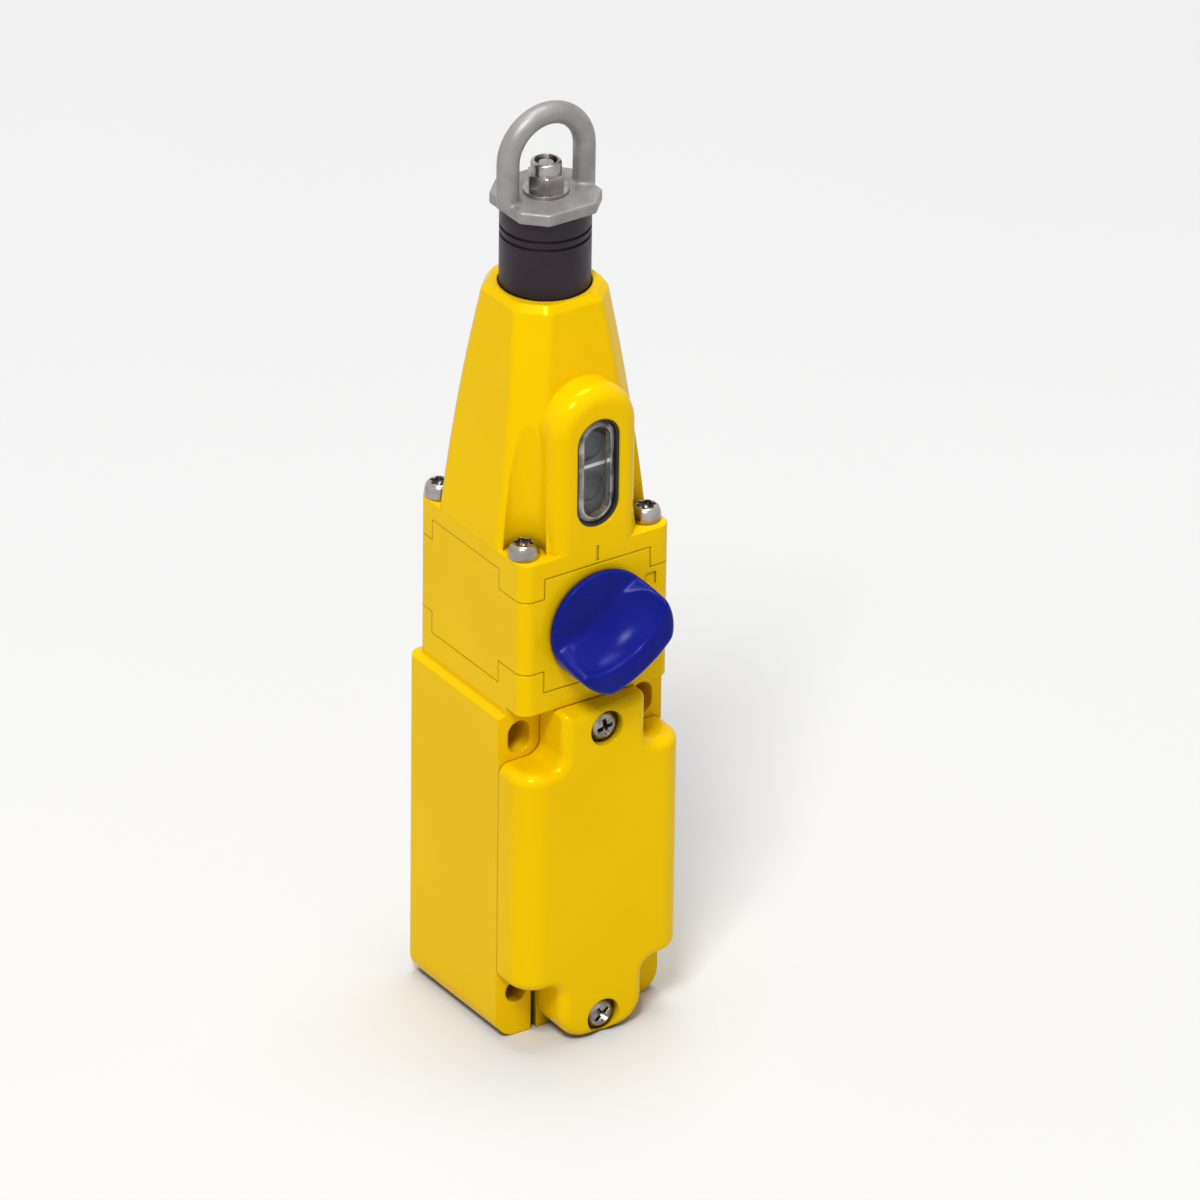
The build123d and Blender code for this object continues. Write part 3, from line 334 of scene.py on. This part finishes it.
NODE_SLOTS = {
    "yellow_enamel": ("base_housing", "front_cover", "knob_housing", "head_housing"),
    "blue_plastic": ("reset_knob",),
    "black_plastic": (
        "sleeve",
        "guide_bush",
        "knob_bush",
        "reset_cam",
        "contact_plunger",
        "rocker_lever",
    ),
    "dark_indicator": ("indicator_carrier",),
    "white_print": ("indicator_line",),
    "clear_lens": ("window_lens",),
    "black_rubber": (
        "cover_gasket",
        "lower_gasket",
        "upper_gasket",
        "window_gasket",
        "sleeve_wiper",
        "knob_seal",
    ),
    "grey_coated_steel": ("pull_eye",),
    "stainless": (
        "cover_screws",
        "head_screws",
        "eye_washer",
        "eye_nut",
        "pull_shaft",
        "lever_pin",
        "knob_spindle",
        "block_screws",
        "terminal_screws",
        "terminal_clamps",
        "earth_screw",
        "earth_washer",
    ),
    "spring_steel": ("main_spring", "return_spring", "shaft_clip", "spindle_clip"),
    "brass": ("fixed_contacts", "contact_bridges"),
    "cream_moulding": ("contact_block",),
}


def finish_nodes():
    """Gives every CAD node its procedural finish."""
    for slot, names in NODE_SLOTS.items():
        for name in names:
            for holder in nodes[name].material_slots:
                holder.material = MATERIALS[slot]


# Pieces


def put(name, data):
    """A new object in the scene."""
    placed = bpy.data.objects.new(name, data)
    bpy.context.collection.objects.link(placed)
    return placed


def make_piece(name, mesh_maker, slot, body, smooth_angle=SHARP_ANGLE):
    """A new piece from a bmesh, smooth except over edges sharper than smooth_angle."""
    shape = bmesh.new()
    mesh_maker(shape)
    bmesh.ops.remove_doubles(shape, verts=shape.verts, dist=CLOSENESS)
    bmesh.ops.recalc_face_normals(shape, faces=shape.faces)
    mesh = bpy.data.meshes.new(name)
    shape.to_mesh(mesh)
    shape.free()
    piece = put(name, mesh)
    mesh.shade_smooth()
    mesh.set_sharp_from_angle(angle=math.radians(smooth_angle))
    mesh.materials.append(MATERIALS[slot])
    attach(piece, body)
    return piece


def lathe(shape, profile, steps=64, place=Matrix.Identity(4)):
    """Revolves (radius, height) points about Z; ends at radius 0 close the solid."""
    turns = [TAU * i / steps for i in range(steps)]
    rings = []
    for radius, height in profile:
        if radius == 0.0:
            points = [Vector((0, 0, height))]
        else:
            flat = [(radius * math.cos(turn), radius * math.sin(turn)) for turn in turns]
            points = [Vector((x, y, height)) for x, y in flat]
        rings.append([shape.verts.new(place @ point) for point in points])
    for lower, upper in zip(rings, rings[1:]):
        for i in range(steps):
            quad = [
                lower[i % len(lower)],
                lower[(i + 1) % len(lower)],
                upper[(i + 1) % len(upper)],
                upper[i % len(upper)],
            ]
            corners = list(dict.fromkeys(quad))
            if len(corners) > 2:
                shape.faces.new(corners)


def cut(piece, cutter_maker):
    """Takes a second bmesh shape out of a piece, for recesses."""
    shape = bmesh.new()
    cutter_maker(shape)
    bmesh.ops.recalc_face_normals(shape, faces=shape.faces)
    mesh = bpy.data.meshes.new("cutter")
    shape.to_mesh(mesh)
    shape.free()
    cutter = put("cutter", mesh)
    boolean = piece.modifiers.new("cut", "BOOLEAN")
    boolean.object = cutter
    boolean.solver = "EXACT"
    apply_modifiers(piece)
    bpy.data.objects.remove(cutter)
    drop_slivers(piece)


def apply_modifiers(piece, smooth_angle=SHARP_ANGLE):
    """Turns a piece's modifiers into its mesh."""
    graph = bpy.context.evaluated_depsgraph_get()
    mesh = bpy.data.meshes.new_from_object(piece.evaluated_get(graph))
    piece.modifiers.clear()
    piece.data = mesh
    mesh.shade_smooth()
    mesh.set_sharp_from_angle(angle=math.radians(smooth_angle))


def drop_slivers(piece):
    """Joins points that a cut left on top of each other and drops faces without area."""
    shape = bmesh.new()
    shape.from_mesh(piece.data)
    bmesh.ops.remove_doubles(shape, verts=shape.verts, dist=2 * CLOSENESS)
    bmesh.ops.dissolve_degenerate(shape, edges=shape.edges, dist=CLOSENESS)
    shape.to_mesh(piece.data)
    shape.free()


def prism(shape, outline, low, high, place):
    """A straight prism of a 2-D outline between two heights."""
    bottom = [shape.verts.new(place @ Vector((x, y, low))) for x, y in outline]
    top = [shape.verts.new(place @ Vector((x, y, high))) for x, y in outline]
    shape.faces.new(bottom[::-1])
    shape.faces.new(top)
    count = len(outline)
    for i in range(count):
        j = (i + 1) % count
        shape.faces.new((bottom[i], bottom[j], top[j], top[i]))


def arc_points(end, steps):
    """Points of a circle of radius 1, from 0 to end degrees."""
    angles = [math.radians(end * i / steps) for i in range(steps + 1)]
    return [(math.cos(angle), math.sin(angle)) for angle in angles]


def star_outline(outer, inner, lobes=6, steps=8):
    """Lobed socket outline."""
    points = []
    for step in range(lobes * steps):
        turn = TAU * step / (lobes * steps)
        wave = 0.5 + 0.5 * math.cos(lobes * turn)
        radius = inner + (outer - inner) * wave**0.8
        points.append((radius * math.cos(turn), radius * math.sin(turn)))
    return points


def head_profile(radius, height, shank_radius, length, wall, crown):
    """Half section of a domed screw: tip at -length, seat at 0, crown at height."""
    tip, foot = 0.5 * MM, 0.1 * MM
    outline = [
        (0.0, -length),
        (shank_radius - tip, -length),
        (shank_radius, tip - length),
        (shank_radius, 0.0),
        (radius - foot, 0.0),
        (radius, foot),
        (radius, wall),
    ]
    for x, y in arc_points(90.0, 9)[1:]:
        outline.append((crown + (radius - crown) * x, wall + (height - wall) * y))
    outline.append((0.0, height))
    return outline


def add_to(piece, shape_maker):
    """Adds one more closed form to a piece's mesh."""
    shape = bmesh.new()
    shape.from_mesh(piece.data)
    shape_maker(shape)
    bmesh.ops.recalc_face_normals(shape, faces=shape.faces)
    shape.to_mesh(piece.data)
    shape.free()
    piece.data.shade_smooth()
    piece.data.set_sharp_from_angle(angle=math.radians(SHARP_ANGLE))


def star_screw(name, seat, turn, radius, height, shank_radius, length):
    """Button head with a pin-in-star recess, on its long shank."""
    place = Matrix.Translation(seat) @ Matrix.Rotation(math.radians(turn), 4, "Z")
    wall, crown = 0.3 * height, 0.62 * radius
    outline = head_profile(radius, height, shank_radius, length, wall, crown)
    piece = make_piece(
        name, lambda shape: lathe(shape, outline, place=place), "stainless", "housing"
    )
    lobe_radius, waist_radius = 0.66 * radius, 0.48 * radius
    floor, above = 0.5 * height, 1.2 * height
    star = star_outline(lobe_radius, waist_radius)
    cut(piece, lambda shape: prism(shape, star, floor, above, place))
    pin_radius, pin_root = 0.17 * radius, floor - 0.1 * MM
    pin_tip_radius, pin_shoulder, pin_top = 0.7 * pin_radius, 0.82 * height, 0.88 * height
    pin = [
        (0.0, pin_root),
        (pin_radius, pin_root),
        (pin_radius, pin_shoulder),
        (pin_tip_radius, pin_top),
        (0.0, pin_top),
    ]
    add_to(piece, lambda shape: lathe(shape, pin, 24, place))
    return piece


BLOCK_FACES = (
    (0, 1, 2, 3),
    (7, 6, 5, 4),
    (0, 4, 5, 1),
    (1, 5, 6, 2),
    (2, 6, 7, 3),
    (3, 7, 4, 0),
)


def cross_screw(name, seat, turn, radius, height, shank_radius, length):
    """Pan head with a cross recess, facing the front, on its shank."""
    front = Matrix.Rotation(math.radians(90.0), 4, "X")
    place = Matrix.Translation(seat) @ front @ Matrix.Rotation(math.radians(turn), 4, "Z")
    wall, crown = 0.35 * height, 0.45 * radius
    outline = head_profile(radius, height, shank_radius, length, wall, crown)
    piece = make_piece(
        name, lambda shape: lathe(shape, outline, place=place), "stainless", "housing"
    )
    cut_crossed(piece, place, radius, height)
    return piece


def cut_crossed(piece, place, radius, height):
    """Cuts the cross recess in two strokes, so that each cutter is a closed solid."""
    levels = (  # half length, half width and height at the top and at the foot
        (0.66 * radius, 0.16 * radius, 1.1 * height),
        (0.231 * radius, 0.08 * radius, 0.12 * height),
    )
    for start in (0.0, 90.0):
        stroke = place @ Matrix.Rotation(math.radians(start), 4, "Z")

        def blade(shape):
            v = []
            for reach, side, level in levels:
                for x, y in ((-reach, -side), (reach, -side), (reach, side), (-reach, side)):
                    v.append(shape.verts.new(stroke @ Vector((x, y, level))))
            for loop in BLOCK_FACES:
                shape.faces.new([v[i] for i in loop])

        cut(piece, blade)


def head_screws():
    """The four long screws of the head, each turned as it happened to stop."""
    low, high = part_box("head_screws")
    radius, height, shank = 3.2 * MM, 3.2 * MM, 1.75 * MM
    x, y = high.x - radius, high.y - radius
    seat = high.z - height
    turns = (17.0, 41.0, 5.0, 28.0)
    corners = ((-x, -y), (x, -y), (-x, y), (x, y))
    for number, (corner, turn) in enumerate(zip(corners, turns), 1):
        piece = star_screw(
            f"head_screw_{number}",
            Vector((*corner, seat)),
            turn,
            radius,
            height,
            shank,
            seat - low.z,
        )
        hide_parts("head_screws")


def cover_screws():
    """The two cross-recess screws of the cover."""
    low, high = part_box("cover_screws")
    radius = high.x
    height, shank = 2.4 * MM, 2.0 * MM
    seat = low.y + height
    places = ((low.z + radius, 38.0), (high.z - radius, 12.0))
    for number, (level, turn) in enumerate(places, 1):
        piece = cross_screw(
            f"cover_screw_{number}",
            Vector((0.0, seat, level)),
            turn,
            radius,
            height,
            shank,
            high.y - seat,
        )
        piece.data.materials[0] = MATERIALS["browned_zinc"]
        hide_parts("cover_screws")


def remesh(piece):
    """Adds a modifier that rebuilds a piece's mesh in even small faces."""
    modifier = piece.modifiers.new("remesh", "REMESH")
    modifier.mode = "VOXEL"
    modifier.voxel_size = VOXEL


def softened(name, node, rounds, body, slot, carving=None):
    """A copy of a CAD node's form with every edge and joint drawn round, as if moulded."""
    piece = put(name, nodes[node].data.copy())
    remesh(piece)
    if carving:
        cut(piece, carving)
        remesh(piece)
    relax = piece.modifiers.new("relax", "SMOOTH")
    relax.factor = 0.6
    relax.iterations = rounds
    apply_modifiers(piece, smooth_angle=180.0)
    piece.data.materials.clear()
    piece.data.materials.append(MATERIALS[slot])
    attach(piece, body)
    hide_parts(node)


def forged_eye():
    """The eye, its edges and its weld rounded as on a forging."""
    softened(
        "pull_eye_forged",
        "pull_eye",
        rounds=7,
        body="eye",
        slot="grey_coated_steel",
    )


def moulded_knob():
    """The reset knob, its finger hollow widened to a round bowl that runs out at both ends."""
    low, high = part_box("reset_knob")
    turn = math.radians(KNOB_GRIP_ANGLE)
    along = Vector((math.cos(turn), 0.0, math.sin(turn)))
    across = Vector((math.sin(turn), 0.0, -math.cos(turn)))
    front = Vector((0.0, -1.0, 0.0))
    bowl_along, bowl_across = 0.4 * MM, -4.6 * MM
    bowl_reach = (12.8 * MM, 8.8 * MM, 8.1 * MM)
    middle = Vector((0.0, low.y, (low.z + high.z) / 2))
    centre = middle + bowl_along * along + bowl_across * across
    columns = [axis * size for axis, size in zip((along, across, front), bowl_reach)]
    place = Matrix.Translation(centre) @ Matrix(columns).transposed().to_4x4()
    half_circle = [(y, -x) for x, y in arc_points(180.0, 32)]
    ball = [(0.0, -1.0), *half_circle[1:-1], (0.0, 1.0)]
    softened(
        "reset_knob_moulded",
        "reset_knob",
        rounds=36,
        body="knob",
        slot="blue_plastic",
        carving=lambda shape: lathe(shape, ball, place=place),
    )


def pressed_spring():
    """The main spring, which on the real switch shortens against the guide bush as the eye is
    pulled; here a fixed copy of the CAD coil in spring steel on the housing.
    """
    piece = put("main_spring_coil", nodes["main_spring"].data.copy())
    piece.data.materials.clear()
    piece.data.materials.append(MATERIALS["spring_steel"])
    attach(piece, "housing")
    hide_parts("main_spring")
    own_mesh(piece)


def slot_loop(shape, inset, level, width, height, centre_z, steps=24):
    """Points of an upright slot outline, moved inwards by inset, at one depth."""
    radius = width / 2 - inset
    straight = (height - width) / 2
    loop = []
    for end in (1, -1):
        for step in range(steps + 1):
            angle = math.pi * step / steps + (0.0 if end > 0 else math.pi)
            x = radius * math.cos(angle)
            z = centre_z + end * straight + radius * math.sin(angle)
            loop.append(shape.verts.new((x, level, z)))
    return loop


def bridge(shape, first, second):
    """A band of faces between two loops of the same length."""
    count = len(first)
    for i in range(count):
        j = (i + 1) % count
        shape.faces.new((first[i], first[j], second[j], second[i]))


def window_lens():
    """The clear lens, in two pieces: its flat pane and its thick bevelled edge."""
    low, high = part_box("window_lens")
    width, height = high.x - low.x, high.z - low.z
    centre_z = (low.z + high.z) / 2
    bevel, land, lip, joint = 1.15 * MM, 0.25 * MM, 0.12 * MM, 0.01 * MM
    step_in, step_back = 0.15 * MM, 0.6 * bevel
    rim_front, rim_back = low.y, high.y
    lip_front = rim_front + 0.1 * MM
    pane_front = rim_front + 0.05 * MM

    def rim(shape):
        profile = (
            (0.0, rim_back),
            (0.0, rim_front + bevel),
            (step_in, rim_front + step_back),
            (bevel - lip, lip_front),
            (bevel, rim_front),
            (bevel + land, rim_front),
            (bevel + land, rim_back),
        )
        loops = []
        for inset, level in profile:
            loops.append(slot_loop(shape, inset, level, width, height, centre_z))
        for first, second in zip(loops, loops[1:] + loops[:1]):
            bridge(shape, first, second)

    def pane(shape):
        edge = bevel + land + joint
        front = slot_loop(shape, edge, pane_front, width, height, centre_z)
        back = slot_loop(shape, edge, rim_back, width, height, centre_z)
        bridge(shape, front, back)
        shape.faces.new(front)
        shape.faces.new(back)

    edge_piece = make_piece(
        "lens_bevelled_edge", rim, "clear_lens", "housing", LENS_SHARP_ANGLE
    )
    # The bevelled edge takes the opaque grey material with painted reflections instead of
    # clear plastic
    edge_piece.data.materials[0] = MATERIALS["lens_edge"]
    pane_piece = make_piece("lens_pane", pane, "clear_lens", "housing", LENS_SHARP_ANGLE)
    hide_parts("window_lens")
    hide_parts("window_lens")


# Stage


def camera_at():
    """The camera, fitted to the photograph's viewing angle."""
    azimuth = math.radians(-33.8)
    elevation = math.radians(28.7)
    roll = 0.0105
    aim = Vector((0.0, 0.0, 0.105))
    distance = 2.908
    side_step = 11.8 * MM
    down_step = 12.3 * MM
    back = Vector(
        (
            math.sin(azimuth) * math.cos(elevation),
            -math.cos(azimuth) * math.cos(elevation),
            math.sin(elevation),
        )
    )
    right = Vector((math.cos(azimuth), math.sin(azimuth), 0.0))
    up = back.cross(right)
    location = aim + back * distance
    right = (right + up * roll).normalized()
    up = back.cross(right)
    target = aim + right * side_step - up * down_step
    look = (location - target).normalized()
    right = up.cross(look).normalized()
    up = look.cross(right)
    data = bpy.data.cameras.new("camera")
    data.lens = 427.6
    data.sensor_width = 36.0
    data.clip_start = 0.1
    data.clip_end = 20.0
    camera = put("camera", data)
    turn = Matrix((right, up, look)).transposed()
    camera.matrix_world = Matrix.Translation(location) @ turn.to_4x4()
    bpy.context.scene.camera = camera


def lamp(name, place, size, power):
    """A large soft area lamp that points at the part."""
    aim = Vector((0.0, 0.0, 0.1))
    data = bpy.data.lights.new(name, "AREA")
    data.shape = "RECTANGLE"
    data.size, data.size_y = size
    data.energy = power
    light = put(name, data)
    light.location = place
    light.rotation_mode = "QUATERNION"
    light.rotation_quaternion = (aim - Vector(place)).to_track_quat("-Z", "Y")


def light_world():
    """An even pale surround, seen and mirrored brighter than the light it gives."""
    light_given, light_seen = 0.42, 1.0
    world = bpy.data.worlds.new("surround")
    world.use_nodes = True
    tree = world.node_tree
    background = tree.nodes["Background"]
    background.inputs["Color"].default_value = (1.0, 1.0, 1.0, 1.0)
    path = tree.nodes.new("ShaderNodeLightPath")
    seen = path.outputs["Is Camera Ray"]
    for ray in ("Is Glossy Ray", "Is Transmission Ray"):
        either = tree.nodes.new("ShaderNodeMath")
        either.operation = "MAXIMUM"
        tree.links.new(seen, either.inputs[0])
        tree.links.new(path.outputs[ray], either.inputs[1])
        seen = either.outputs["Value"]
    strength = tree.nodes.new("ShaderNodeMapRange")
    strength.inputs["To Min"].default_value = light_given
    strength.inputs["To Max"].default_value = light_seen
    tree.links.new(seen, strength.inputs["Value"])
    tree.links.new(strength.outputs["Result"], background.inputs["Strength"])
    bpy.context.scene.world = world


def lay_floor():
    """A wide pale floor under the part."""
    half = 6.0
    level = cad_low.z - 0.05 * MM
    signs = ((-1, -1), (1, -1), (1, 1), (-1, 1))
    mesh = bpy.data.meshes.new("floor")
    mesh.from_pydata([(x * half, y * half, level) for x, y in signs], [], [(0, 1, 2, 3)])
    mesh.materials.append(floor_white())
    floor = put("floor", mesh)


finish_nodes()
head_screws()
cover_screws()
forged_eye()
moulded_knob()
pressed_spring()
window_lens()
camera_at()
light_world()
lay_floor()
lamp("key_left", place=(-1.45, -1.4, 2.8), size=(0.8, 0.8), power=84.0)
lamp("top", place=(0.3, 0.2, 3.2), size=(1.4, 1.4), power=54.0)
bpy.context.scene.view_settings.view_transform = "Standard"
